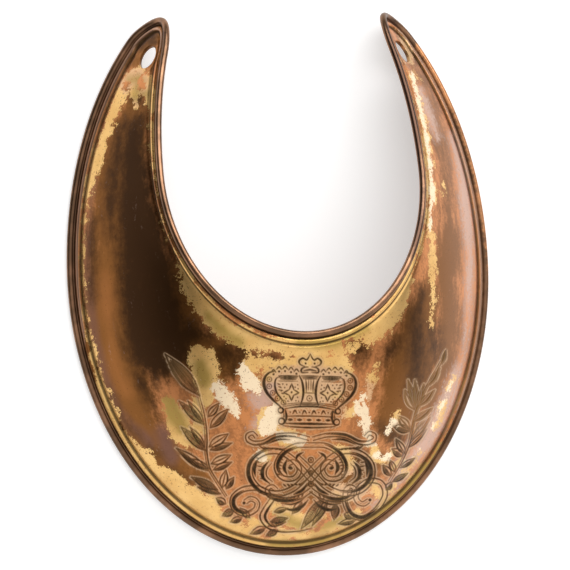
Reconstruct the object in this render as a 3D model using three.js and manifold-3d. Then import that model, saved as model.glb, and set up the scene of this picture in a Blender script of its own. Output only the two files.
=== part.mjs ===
// An officer's gorget: one crescent of gilt copper sheet, raised into a dome, with a rolled
// edge all round, a swaged ridge inside the roll and a ribbon hole in each horn.
// It lies dome upwards on its outer edge, as it rests on a table. Millimetres, +Z up,
// +X to the right and +Y towards the horn tips, with the origin on the table under the middle.
import * as THREE from "three";
import { LoftGeometry } from "three/addons/geometries/LoftGeometry.js";
import { mergeVertices } from "three/addons/utils/BufferGeometryUtils.js";
import Module from "manifold-3d";

const { degToRad, lerp, clamp, smoothstep } = THREE.MathUtils;

// Sheet and rolled edge
const sheetThickness = 0.8;
const rollRadius = 0.85;
const footHalfAngle = degToRad(15); // half of the flat that the roll is worn to where it rests

// Outer edge, along the middle of the roll: two half ellipses that lie flat on the table
const outerHalfWidth = 52.85;
const outerBelow = 70.75; // from the widest place down to the bottom
const outerAbove = 78.65; // upper half ellipse, which the horns follow as far as their tips
const outerEnd = degToRad(141);

// Throat edge: two half ellipses on a plane that falls towards the horn tips
const throatHalfWidth = 32.6;
const throatBelow = 40.85;
const throatAbove = 65.65;
const throatCentre = 23; // how far its widest place lies up the plate
const throatEnd = degToRad(122.5);
const throatHeight = 38.5; // above the table at the bottom of the throat
const throatFall = 0.353; // drop for each millimetre towards the tips

// Dome: each cross-section is a quadratic curve that leaves its chord at these angles
const throatTurnMiddle = degToRad(38);
const throatTurnFlank = degToRad(9);
const outerTurnMiddle = degToRad(21);
const outerTurnFlank = degToRad(5);
const flankStart = 0.62; // share of the way to a tip where the flank's angles are reached
const stationLead = 0.4; // how far outer stations run ahead of the throat's, to stay square

// Horn tips
const tipStart = 0.965; // share of the way to the edges' ends where the rounding starts
const tipReach = 0.07; // how far the rounding then goes on
const spineEnd = 0.93; // where the middle line of each horn stops, as a share of tipStart

// Ribbon holes, slightly oval along the horn
const holeLength = 6.2;
const holeWidth = 5.2;
const holeStation = 0.944;
const holeAcross = 0.49; // share of the way from throat edge to outer edge

// Moulding inside the roll, of the face and of the back: distance in from the middle of the
// roll as a share of mouldingWidth, and height over the dome, or over a plain back, as a share
// of mouldingRelief. The border stands proud of the field.
const mouldingWidth = 4.4;
const mouldingRelief = 0.78;
const fieldLevel = -0.7;
const faceMoulding = [
  { name: "groove", inward: 0.28, level: -0.58 },
  { name: "step", inward: 0.41, level: -0.28 },
  { name: "ridge", inward: 0.55, level: 0 },
  { name: "ridgeSide", inward: 0.66, level: -0.38 },
  { name: "line", inward: 0.75, level: -1 },
  { name: "band", inward: 0.89, level: -0.92 },
  { name: "shoulder", inward: 1, level: fieldLevel },
];
const backMoulding = [
  { name: "groove", inward: 0.28, level: -0.2 },
  { name: "line", inward: 0.75, level: -0.64 },
  { name: "field", inward: 1, level: fieldLevel },
];
const throatMouldingShare = 0.75; // size of the throat's moulding beside the outer edge's

// Fineness of the facets
const sideStations = 62;
const tipStations = 10;
const faceRows = 6;
const backRows = 4;
const rollStepsFace = 5;
const rollStepsBack = 2;
const holeSides = 32;

const rollHeight = rollRadius * Math.cos(footHalfAngle); // middle of the roll above the table
const probe = 1e-4; // step for slopes, in shares of the plate

function outerEdge(t) {
  const angle = outerEnd * t * (1 + stationLead * (1 - Math.abs(t)));
  const reach = Math.cos(angle) > 0 ? outerBelow : outerAbove;
  return new THREE.Vector3(
    outerHalfWidth * Math.sin(angle),
    -reach * Math.cos(angle),
    rollHeight,
  );
}

function throatEdge(t) {
  const angle = throatEnd * t;
  const reach = Math.cos(angle) > 0 ? throatBelow : throatAbove;
  const y = throatCentre - reach * Math.cos(angle);
  const height = throatHeight - throatFall * (y - throatCentre + throatBelow);
  return new THREE.Vector3(throatHalfWidth * Math.sin(angle), y, height);
}

// The dome through the middles of the rolled edges: t runs from the left tip, -1, to the
// right one, 1, and v from the throat edge, 0, to the outer edge, 1.
function dome(t, v) {
  const throat = throatEdge(t);
  const outer = outerEdge(t);
  const flank = smoothstep(Math.abs(t), 0, flankStart);
  const throatRise = Math.tan(lerp(throatTurnMiddle, throatTurnFlank, flank));
  const outerRise = Math.tan(lerp(outerTurnMiddle, outerTurnFlank, flank));
  const chord = outer.clone().sub(throat);
  const length = chord.length();
  const along = chord.normalize();
  const up = new THREE.Vector3(0, 0, 1).addScaledVector(along, -along.z);
  const toShoulder = (length * outerRise) / (throatRise + outerRise);
  const shoulder = throat
    .clone()
    .addScaledVector(along, toShoulder)
    .addScaledVector(up.normalize(), toShoulder * throatRise);
  return new THREE.QuadraticBezierCurve3(throat, shoulder, outer).getPoint(v);
}

function domeNormal(t, v) {
  const along = dome(t + probe, v).sub(dome(t - probe, v));
  const across = dome(t, v + probe).sub(dome(t, v - probe));
  const normal = across.cross(along).normalize();
  return normal.z < 0 ? normal.negate() : normal;
}

// The rim runs once round the plate: outer edge, right tip, throat edge, left tip.
function rimPlace(s) {
  const part = Math.floor(s) % 4;
  const rest = s - Math.floor(s);
  if (part === 0) return { t: tipStart * (2 * rest - 1), v: 1 };
  if (part === 2) return { t: tipStart * (1 - 2 * rest), v: 0 };
  const turn = Math.PI * rest;
  const side = part === 1 ? 1 : -1;
  return {
    t: side * (tipStart + tipReach * Math.sin(turn)),
    v: 0.5 + (side * Math.cos(turn)) / 2,
  };
}

// The face and the back each close on this middle line.
function spinePlace(t) {
  return { t: spineEnd * clamp(t, -tipStart, tipStart), v: 0.5 };
}

function between(a, b, share) {
  return { t: lerp(a.t, b.t, share), v: lerp(a.v, b.v, share) };
}

function raised(place, height) {
  const normal = domeNormal(place.t, place.v);
  return dome(place.t, place.v).addScaledVector(normal, height);
}

// Angles round the roll, from the groove over the top and outside to the back of the sheet,
// with one flat side turned down to the table where the rim lies on it.
function rollAngles(inward, normal) {
  const start = Math.asin((faceMoulding[0].level * mouldingRelief) / rollRadius);
  const end = 1.5 * Math.PI;
  const down = Math.atan2(-normal.z, -inward.z) + 2 * Math.PI;
  const foot = clamp(
    down % (2 * Math.PI),
    Math.PI + footHalfAngle,
    end - 2 * footHalfAngle,
  );
  const over = foot - footHalfAngle;
  const under = foot + footHalfAngle;
  const angles = [];
  for (let i = 0; i <= rollStepsFace; i++)
    angles.push(lerp(start, over, i / rollStepsFace));
  for (let i = 0; i <= rollStepsBack; i++)
    angles.push(lerp(under, end, i / rollStepsBack));
  return angles;
}

// One section of the loft: from the middle line of the face out to the roll, and along the
// back to the middle line again.
function sectionAt(s) {
  const rim = rimPlace(s);
  const spine = spinePlace(rim.t);
  const centre = dome(rim.t, rim.v);
  const ahead = rimPlace(s + probe);
  const behind = rimPlace(s - probe + 4);
  const tangent = dome(ahead.t, ahead.v)
    .sub(dome(behind.t, behind.v))
    .normalize();
  const inner = between(rim, spine, probe);
  const inward = dome(inner.t, inner.v).sub(centre).divideScalar(probe);
  inward.addScaledVector(tangent, -inward.dot(tangent));
  const shareOfMillimetre = 1 / inward.length();
  inward.normalize();
  const normal = tangent.clone().cross(inward);
  const size = lerp(throatMouldingShare, 1, rim.v);

  const side = (moulding, rows, depth) => {
    const width = mouldingWidth * size * shareOfMillimetre;
    const points = moulding.map((row) => {
      const place = between(rim, spine, row.inward * width);
      return raised(place, row.level * mouldingRelief * size - depth);
    });
    for (let i = 1; i <= rows; i++) {
      const place = between(rim, spine, lerp(width, 1, i / rows));
      const height = fieldLevel * mouldingRelief * lerp(size, 1, i / rows);
      points.push(raised(place, height - depth));
    }
    return points;
  };
  const roll = rollAngles(inward, normal).map((angle) =>
    centre
      .clone()
      .addScaledVector(inward, rollRadius * Math.cos(angle))
      .addScaledVector(normal, rollRadius * Math.sin(angle)),
  );
  const face = side(faceMoulding, faceRows, 0);
  const back = side(backMoulding, backRows, sheetThickness);
  return [...face.reverse(), ...roll, ...back];
}

function crescentSheet() {
  const stations = [];
  const counts = [sideStations, tipStations, sideStations, tipStations];
  counts.forEach((count, part) => {
    for (let i = 0; i < count; i++) stations.push(part + i / count);
  });
  const sections = stations.map(sectionAt);
  sections.push(sections[0]);
  return new LoftGeometry(sections, { closed: false });
}

// An oval punch through one horn, square to the sheet.
function holePunch(side) {
  const t = side * holeStation;
  const normal = domeNormal(t, holeAcross);
  const along = dome(t + probe, holeAcross)
    .sub(dome(t - probe, holeAcross))
    .normalize();
  const across = normal.clone().cross(along);
  const depth = 8 * sheetThickness;
  const oval = new THREE.Shape().absellipse(
    0,
    0,
    holeLength / 2,
    holeWidth / 2,
    0,
    2 * Math.PI,
  );
  const punch = new THREE.ExtrudeGeometry(oval, {
    depth,
    bevelEnabled: false,
    curveSegments: holeSides,
  });
  punch.translate(0, 0, -depth / 2);
  const placed = new THREE.Matrix4().makeBasis(along, across, normal);
  placed.setPosition(dome(t, holeAcross));
  return punch.applyMatrix4(placed);
}

// A closed body for boolean work: shared corners merged and collapsed triangles dropped.
function bodyOf(geometry) {
  const bare = new THREE.BufferGeometry();
  bare.setAttribute("position", geometry.getAttribute("position"));
  bare.setIndex(geometry.getIndex());
  const merged = mergeVertices(bare, 1e-4);
  const index = merged.index.array;
  const kept = [];
  for (let i = 0; i < index.length; i += 3) {
    const [a, b, c] = [index[i], index[i + 1], index[i + 2]];
    if (a !== b && b !== c && c !== a) kept.push(a, b, c);
  }
  const mesh = new wasm.Mesh({
    numProp: 3,
    vertProperties: new Float32Array(merged.attributes.position.array),
    triVerts: new Uint32Array(kept),
  });
  return new wasm.Manifold(mesh);
}

function geometryOf(body) {
  const mesh = body.getMesh();
  const geometry = new THREE.BufferGeometry();
  const corners = new THREE.BufferAttribute(mesh.vertProperties, 3);
  geometry.setAttribute("position", corners);
  geometry.setIndex(new THREE.BufferAttribute(mesh.triVerts, 1));
  return geometry.toNonIndexed();
}

const wasm = await Module();
wasm.setup();

const giltCopper = new THREE.MeshStandardMaterial({
  color: new THREE.Color(0.56, 0.34, 0.15),
  roughness: 0.32,
  metalness: 1,
});

const pierced = [-1, 1].reduce(
  (body, side) => body.subtract(bodyOf(holePunch(side))),
  bodyOf(crescentSheet()),
);
const shape = geometryOf(pierced);
shape.computeBoundingBox();
const middle = shape.boundingBox.getCenter(new THREE.Vector3());
shape.translate(-middle.x, -middle.y, 0);
shape.computeVertexNormals();

const plate = new THREE.Mesh(shape, giltCopper);
plate.name = "gorget_plate";

const gorget = new THREE.Group();
gorget.add(plate);

export default gorget;
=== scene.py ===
import math

import bmesh
import bpy
import numpy as np
from mathutils import Matrix, Vector, kdtree, noise


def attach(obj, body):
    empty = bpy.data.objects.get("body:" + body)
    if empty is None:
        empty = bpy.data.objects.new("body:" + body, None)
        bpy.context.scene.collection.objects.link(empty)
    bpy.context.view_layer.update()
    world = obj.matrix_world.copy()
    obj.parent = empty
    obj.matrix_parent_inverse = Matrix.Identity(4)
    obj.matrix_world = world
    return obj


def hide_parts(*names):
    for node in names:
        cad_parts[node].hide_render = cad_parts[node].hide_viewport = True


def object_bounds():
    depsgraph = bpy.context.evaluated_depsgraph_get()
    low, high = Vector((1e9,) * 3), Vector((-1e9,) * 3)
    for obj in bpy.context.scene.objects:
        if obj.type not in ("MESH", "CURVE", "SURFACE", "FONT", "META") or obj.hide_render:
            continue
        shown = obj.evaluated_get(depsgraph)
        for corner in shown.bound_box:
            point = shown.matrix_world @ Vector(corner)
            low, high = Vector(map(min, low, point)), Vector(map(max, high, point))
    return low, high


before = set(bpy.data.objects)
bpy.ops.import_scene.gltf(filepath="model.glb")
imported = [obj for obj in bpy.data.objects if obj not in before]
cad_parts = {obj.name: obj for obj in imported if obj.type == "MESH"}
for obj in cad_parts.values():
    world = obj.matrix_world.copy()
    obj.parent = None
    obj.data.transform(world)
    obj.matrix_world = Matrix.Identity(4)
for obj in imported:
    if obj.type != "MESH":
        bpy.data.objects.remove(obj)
cadLow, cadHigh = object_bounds()
print("gorget: frame loaded")

mm = 0.001  # the plate is worked out in millimetres and made in metres

# Camera
view = {
    "lean": 10.0,  # degrees that the camera leans over to the left
    "dip": 2.785,  # and towards the bottom of the plate
    "roll": -2.378,
    "distance": 1000.0,
    "frameWidth": 141.1,  # what the picture shows across, at the target
    "frameSteps": 570,
    "target": (-1.25, -0.554, 15.0),
}


def unit(vector):
    return vector / np.linalg.norm(vector, axis=-1, keepdims=True)


lean, dip, roll = (math.radians(view[key]) for key in ("lean", "dip", "roll"))
towardsCamera = np.array([
    -math.sin(lean) * math.cos(dip),
    -math.sin(dip),
    math.cos(lean) * math.cos(dip),
])
levelRight = np.array([math.cos(lean), 0.0, math.sin(lean)])
levelUp = np.cross(towardsCamera, levelRight)
viewRight = math.cos(roll) * levelRight + math.sin(roll) * levelUp
viewUp = math.cos(roll) * levelUp - math.sin(roll) * levelRight
viewTarget = np.array(view["target"])
viewPlace = viewTarget + view["distance"] * towardsCamera

cameraData = bpy.data.cameras.new("studioCamera")
cameraData.sensor_width = 36
cameraData.lens = cameraData.sensor_width * view["distance"] / view["frameWidth"]
cameraData.clip_end = 20
camera = bpy.data.objects.new("studioCamera", cameraData)
turn = Matrix([viewRight, viewUp, towardsCamera]).transposed().to_4x4()
camera.matrix_world = Matrix.Translation(Vector(viewPlace * mm)) @ turn
bpy.context.scene.collection.objects.link(camera)
bpy.context.scene.camera = camera

# Drawings for the engraving and the wear are ruled on a plan across the view, in steps of
# about a quarter of a millimetre: x to the right and y up from the bottom of the throat.
plan = {
    "step": view["frameWidth"] / view["frameSteps"],
    "origin": (15.0, -45.0),  # from the middle of the picture
}


def onPlan(points):
    fromCamera = points - viewPlace
    scale = view["distance"] / -(fromCamera @ towardsCamera)
    x = (fromCamera @ viewRight) * scale / plan["step"] - plan["origin"][0]
    y = (fromCamera @ viewUp) * scale / plan["step"] - plan["origin"][1]
    return x, y


# The plate's shape, as in its CAD source
plate = {
    "sheetThickness": 0.8,
    "rollRadius": 0.85,
    "footHalfAngle": math.radians(15),
    "outerHalfWidth": 52.85,
    "outerBelow": 70.75,
    "outerAbove": 78.65,
    "outerEnd": math.radians(141),
    "throatHalfWidth": 32.6,
    "throatBelow": 40.85,
    "throatAbove": 65.65,
    "throatCentre": 23.0,
    "throatEnd": math.radians(122.5),
    "throatHeight": 38.5,
    "throatFall": 0.353,
    "throatTurnMiddle": math.radians(38),
    "throatTurnFlank": math.radians(9),
    "outerTurnMiddle": math.radians(21),
    "outerTurnFlank": math.radians(5),
    "flankStart": 0.62,
    "stationLead": 0.4,
    "tipStart": 0.965,
    "tipReach": 0.07,
    "spineEnd": 0.93,
    "holeLength": 6.2,
    "holeWidth": 5.2,
    "holeStation": 0.944,
    "holeAcross": 0.49,
    "punchLength": 8.0,
    "fieldHeight": -0.546,
    "throatMouldingShare": 0.75,
}
rollHeight = plate["rollRadius"] * math.cos(plate["footHalfAngle"])
probe = 1e-4


def blendShare(a, b, share):
    return a + (b - a) * share


def easeIn(x):
    x = np.clip(x, 0, 1)
    return x * x * (3 - 2 * x)


def outerEdge(t):
    angle = plate["outerEnd"] * t * (1 + plate["stationLead"] * (1 - np.abs(t)))
    reach = np.where(np.cos(angle) > 0, plate["outerBelow"], plate["outerAbove"])
    x = plate["outerHalfWidth"] * np.sin(angle)
    return np.stack([x, -reach * np.cos(angle), np.full_like(x, rollHeight)], -1)


def throatEdge(t):
    angle = plate["throatEnd"] * t
    reach = np.where(np.cos(angle) > 0, plate["throatBelow"], plate["throatAbove"])
    x = plate["throatHalfWidth"] * np.sin(angle)
    y = plate["throatCentre"] - reach * np.cos(angle)
    fall = plate["throatFall"] * (y - plate["throatCentre"] + plate["throatBelow"])
    return np.stack([x, y, plate["throatHeight"] - fall], -1)


# t runs from the left tip, -1, to the right one, 1, and v from throat to outer edge
def dome(t, v):
    throat, outer = throatEdge(t), outerEdge(t)
    flank = easeIn(np.abs(t) / plate["flankStart"])
    throatRise = np.tan(blendShare(plate["throatTurnMiddle"], plate["throatTurnFlank"], flank))
    outerRise = np.tan(blendShare(plate["outerTurnMiddle"], plate["outerTurnFlank"], flank))
    chord = outer - throat
    length = np.linalg.norm(chord, axis=-1)
    along = unit(chord)
    up = unit(np.array([0, 0, 1.0]) - along * along[..., 2:])
    toShoulder = length * outerRise / (throatRise + outerRise)
    shoulder = throat + along * toShoulder[..., None] + up * (toShoulder * throatRise)[..., None]
    v = np.asarray(v)[..., None]
    return (1 - v) ** 2 * throat + 2 * v * (1 - v) * shoulder + v * v * outer


def domeNormal(t, v):
    along = dome(t + probe, v) - dome(t - probe, v)
    across = dome(t, v + probe) - dome(t, v - probe)
    normal = unit(np.cross(across, along))
    return np.where(normal[..., 2:] < 0, -normal, normal)


def raised(t, v, height):
    return dome(t, v) + domeNormal(t, v) * np.asarray(height)[..., None]


# s runs once round the rim: outer edge 0 to 1, right tip, throat edge 2 to 3, left tip
def rimPlace(s):
    part = np.floor(s) % 4
    rest = s - np.floor(s)
    side = np.where(part == 1, 1.0, -1.0)
    tipT = side * (plate["tipStart"] + plate["tipReach"] * np.sin(np.pi * rest))
    tipV = 0.5 + side * np.cos(np.pi * rest) / 2
    t = np.select([part == 0, part == 2],
                  [plate["tipStart"] * (2 * rest - 1), plate["tipStart"] * (1 - 2 * rest)], tipT)
    v = np.select([part == 0, part == 2], [np.ones_like(s), np.zeros_like(s)], tipV)
    return t, v


# Rows of the section, as distances in from the middle of the roll, with the swaged profile
# of face and back that they follow
section = {
    "sideStations": 206,
    "tipStations": 22,
    "fieldRows": 16,
    "mouldingRows": [4.4, 4.15, 3.9, 3.7, 3.5, 3.3, 3.15, 3.0, 2.8, 2.6, 2.4, 2.2, 2.0, 1.8, 1.55, 1.25,
                     0.98],
    "profile": {
        "inward": [0.72, 1.0, 1.25, 1.8, 2.4, 2.9, 3.15, 3.3, 3.55, 3.9, 4.4, 5.0],
        "height": [-0.45, -0.47, -0.45, -0.17, 0.0, -0.22, -0.62, -0.78, -0.76, -0.72, -0.546, -0.546],
    },
    "rollRows": 13,
    "backFrom": math.radians(216),  # round the roll, from its inner side
    "backMoulding": [(1.23, -0.156), (2.2, -0.34), (3.3, -0.5), (4.4, -0.546)],
    "backRows": 7,
    "weldReach": 0.002,
}


def sectionRows():
    stations = []
    for part, count in enumerate([section["sideStations"], section["tipStations"]] * 2):
        stations += [part + i / count for i in range(count)]
    s = np.array(stations + [4.0])
    t, v = rimPlace(s)
    spineT = plate["spineEnd"] * np.clip(t, -plate["tipStart"], plate["tipStart"])
    centre = dome(t, v)
    tangent = unit(dome(*rimPlace(s + probe)) - dome(*rimPlace(s - probe + 4)))
    inward = (dome(blendShare(t, spineT, probe), blendShare(v, 0.5, probe)) - centre) / probe
    inward = inward - tangent * np.sum(inward * tangent, -1)[:, None]
    shareOfMillimetre = 1 / np.linalg.norm(inward, axis=-1)
    inward = unit(inward)
    normal = np.cross(tangent, inward)
    size = blendShare(plate["throatMouldingShare"], 1.0, v)

    def row(share, height, rimward, isField, isBack):
        rowT, rowV = blendShare(t, spineT, share), blendShare(v, 0.5, share)
        place = raised(rowT, rowV, height)
        full = np.ones_like(t)
        return {"place": place, "t": rowT, "v": rowV, "rimward": rimward * full,
                "field": isField * full, "back": isBack * full}

    rows = []
    shoulder = section["mouldingRows"][0]
    shoulderShare = shoulder * size * shareOfMillimetre
    # bmesh welds the first row, on the middle line of the face, with itself
    for i in range(section["fieldRows"]):
        share = blendShare(1.0, shoulderShare, i / section["fieldRows"])
        height = blendShare(plate["fieldHeight"], plate["fieldHeight"] * size, i / section["fieldRows"])
        rimward = share / (size * shareOfMillimetre)
        rows.append(row(share, height, rimward, 1.0, 0.0))
    profile = section["profile"]
    for inwardBy in section["mouldingRows"]:
        height = np.interp(inwardBy, profile["inward"], profile["height"])
        isField = 1.0 if inwardBy == shoulder else 0.0
        rows.append(row(inwardBy * size * shareOfMillimetre, height * size, inwardBy, isField, 0.0))

    start = math.asin(profile["height"][0] / plate["rollRadius"])
    end = 1.5 * math.pi
    for i in range(section["rollRows"]):
        angle = blendShare(start, end, i / (section["rollRows"] - 1))
        place = centre + plate["rollRadius"] * (inward * math.cos(angle) + normal * math.sin(angle))
        place[:, 2] = np.maximum(place[:, 2], 0)
        full = np.ones_like(t)
        rows.append({"place": place, "t": t, "v": v,
                     "rimward": plate["rollRadius"] * math.cos(angle) * full,
                     "field": 0 * full, "back": (angle > section["backFrom"]) * full})
    for inwardBy, height in section["backMoulding"]:
        depth = height * size - plate["sheetThickness"]
        rows.append(row(inwardBy * size * shareOfMillimetre, depth, inwardBy, 0.0, 1.0))
    for i in range(1, section["backRows"] + 1):
        share = blendShare(shoulderShare, 1.0, i / section["backRows"])
        height = blendShare(plate["fieldHeight"] * size, plate["fieldHeight"], i / section["backRows"])
        rimward = share / (size * shareOfMillimetre)
        rows.append(row(share, height - plate["sheetThickness"], rimward, 0.0, 1.0))
    return rows


# A drawing keeps, for each cell of its sheet, how far it lies inside the nearest shape
class Drawing:
    def __init__(self, low, high, cellsPerStep, reach):
        self.low, self.cellsPerStep, self.reach = np.array(low, float), cellsPerStep, reach
        width, height = ((np.array(high) - self.low) * cellsPerStep).astype(int) + 1
        self.inside = np.full((height, width), -float(reach))

    def dab(self, x, y, radius):
        centre = (np.array([x, y]) - self.low) * self.cellsPerStep
        half = (radius + self.reach) * self.cellsPerStep
        x0, y0 = np.maximum(np.floor(centre - half).astype(int), 0)
        x1, y1 = np.ceil(centre + half).astype(int) + 1
        patch = self.inside[y0:y1, x0:x1]
        ys, xs = np.ogrid[y0:y0 + patch.shape[0], x0:x0 + patch.shape[1]]
        distance = np.sqrt((xs - centre[0]) ** 2 + (ys - centre[1]) ** 2) / self.cellsPerStep
        np.maximum(patch, radius - distance, out=patch)

    def line(self, points, thin=0.45, thick=None, every=0.4):
        path = smoothPath(points, every)
        share = np.linspace(0, 1, len(path))
        swell = np.sin(np.pi * share) ** 1.3
        radii = thin + ((thick or thin) - thin) * swell
        for (x, y), radius in zip(path[:, :2], radii):
            self.dab(x, y, radius)

    def patch(self, points, every=1.0):
        for x, y, radius in smoothPath(points, every):
            self.dab(x, y, radius)

    def at(self, x, y):
        column = (np.asarray(x) - self.low[0]) * self.cellsPerStep
        line = (np.asarray(y) - self.low[1]) * self.cellsPerStep
        height, width = self.inside.shape
        outside = (column < 0) | (column > width - 2) | (line < 0) | (line > height - 2)
        column, line = np.clip(column, 0, width - 1.001), np.clip(line, 0, height - 1.001)
        c, r = column.astype(int), line.astype(int)
        a, b = column - c, line - r
        values = (self.inside[r, c] * (1 - a) * (1 - b) + self.inside[r, c + 1] * a * (1 - b)
                  + self.inside[r + 1, c] * (1 - a) * b + self.inside[r + 1, c + 1] * a * b)
        return np.where(outside, -self.reach, values)


# A smooth path through given points, with whatever else each point holds
def smoothPath(points, every):
    points = np.array(points, float)
    if len(points) == 1:
        return points
    padded = np.vstack([2 * points[0] - points[1], points, 2 * points[-1] - points[-2]])
    path = []
    for a, b, c, d in zip(padded, padded[1:], padded[2:], padded[3:]):
        count = max(2, int(np.linalg.norm((c - b)[:2]) / every))
        u = np.linspace(0, 1, count, endpoint=False)[:, None]
        path.append(0.5 * (2 * b + (c - a) * u + (2 * a - 5 * b + 4 * c - d) * u ** 2
                           + (3 * b - a - 3 * c + d) * u ** 3))
    path.append(points[-1:])
    return np.vstack(path)


def offsetPath(points, by):
    path = smoothPath(points, 1.5)
    along = unit(np.gradient(path[:, :2], axis=0))
    return path[:, :2] + by * np.stack([-along[:, 1], along[:, 0]], 1)


# Engraving: crown over a scroll knot, between two laurel sprays
emblem = {
    "low": (-150, -216),
    "high": (156, -16),
    "cellsPerStep": 4,
    "reach": 5.0,
    "thin": 0.55,
    "crownBase": (9.0, -97.0),
    "crownLean": math.radians(-1.0),
    "knotCentre": (11.0, -142.0),
    "knotReach": (0.96, 0.9),
    "leftStem": [(-73, -166), (-82, -152), (-90, -138), (-93, -123), (-93, -109), (-94, -95), (-96, -83),
                 (-101, -64)],
    # each leaf: foot, tip, width and how it is shaded
    "leftLeaves": [
        ((-100, -66), (-135, -24), 14, "hatched"),
        ((-96, -95), (-121, -71), 8, "hatched"), ((-96, -93), (-112, -71), 6, "dark"),
        ((-94, -121), (-119, -97), 9, "hatched"), ((-95, -117), (-110, -97), 6, "dark"),
        ((-92, -141), (-124, -118), 8, "dark"), ((-90, -139), (-112, -128), 6, "open"),
        ((-82, -160), (-109, -147), 8, "hatched"), ((-79, -164), (-103, -157), 5, "dark"),
        ((-92, -87), (-81, -73), 7, "open"), ((-90, -98), (-72, -79), 9, "dark"),
        ((-91, -117), (-72, -104), 9, "open"), ((-90, -120), (-68, -113), 6, "dark"),
        ((-89, -134), (-69, -125), 8, "open"), ((-87, -140), (-68, -132), 6, "dark"),
        ((-78, -158), (-74, -140), 8, "open"), ((-74, -159), (-66, -147), 6, "dark"),
    ],
    "rightStem": [(90, -152), (98, -139), (104, -128), (110, -113), (113, -99), (117, -82), (124, -64),
                  (133, -48), (142, -32)],
    "rightLeaves": [
        ((142, -34), (146, -20), 3, "open"), ((130, -55), (140, -38), 4, "open"),
        ((119, -78), (124, -54), 5, "open"), ((120, -76), (135, -60), 5, "open"),
        ((115, -80), (105, -60), 9, "open"), ((117, -79), (108, -50), 5, "open"),
        ((118, -80), (115, -50), 4, "open"),
        ((113, -92), (133, -78), 5, "open"), ((111, -110), (131, -87), 6, "open"),
        ((110, -101), (93, -96), 8, "dark"), ((110, -99), (98, -86), 8, "open"),
        ((108, -118), (127, -99), 5, "open"),
        ((103, -126), (92, -119), 8, "dark"), ((105, -124), (96, -109), 7, "open"),
        ((100, -138), (115, -128), 5, "dark"),
        ((91, -146), (83, -135), 7, "dark"), ((95, -142), (90, -130), 6, "open"),
        ((92, -152), (108, -143), 5, "hatched"),
    ],
    "foliage": [
        ((-74, -174), (-84, -168), 7, "dark"), ((-66, -180), (-78, -186), 7, "hatched"),
        ((-58, -188), (-70, -192), 6, "dark"), ((-50, -188), (-60, -178), 6, "open"),
        ((-34, -197), (-50, -204), 7, "dark"), ((-22, -200), (-34, -206), 6, "hatched"),
        ((-30, -192), (-12, -188), 6, "hatched"), ((-26, -182), (-12, -178), 5, "dark"),
        ((-32, -196), (-14, -192), 4, "open"), ((2, -172), (-8, -184), 7, "dark"),
        ((24, -168), (1, -199), 10, "hatched"), ((28, -170), (12, -196), 7, "dark"),
        ((36, -174), (34, -190), 8, "hatched"), ((44, -184), (54, -188), 7, "dark"),
        ((56, -190), (38, -194), 6, "dark"), ((86, -160), (92, -152), 6, "dark"),
    ],
}


def turned(points, centre, angle=0.0, flip=1):
    c, s = math.cos(angle), math.sin(angle)
    return [(centre[0] + c * flip * p[0] - s * p[1], centre[1] + s * flip * p[0] + c * p[1])
            for p in points]


def ring(centre, radius, count=9):
    angles = np.linspace(0, 2 * np.pi, count)
    return [(centre[0] + radius * math.cos(a), centre[1] + radius * math.sin(a)) for a in angles]


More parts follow.
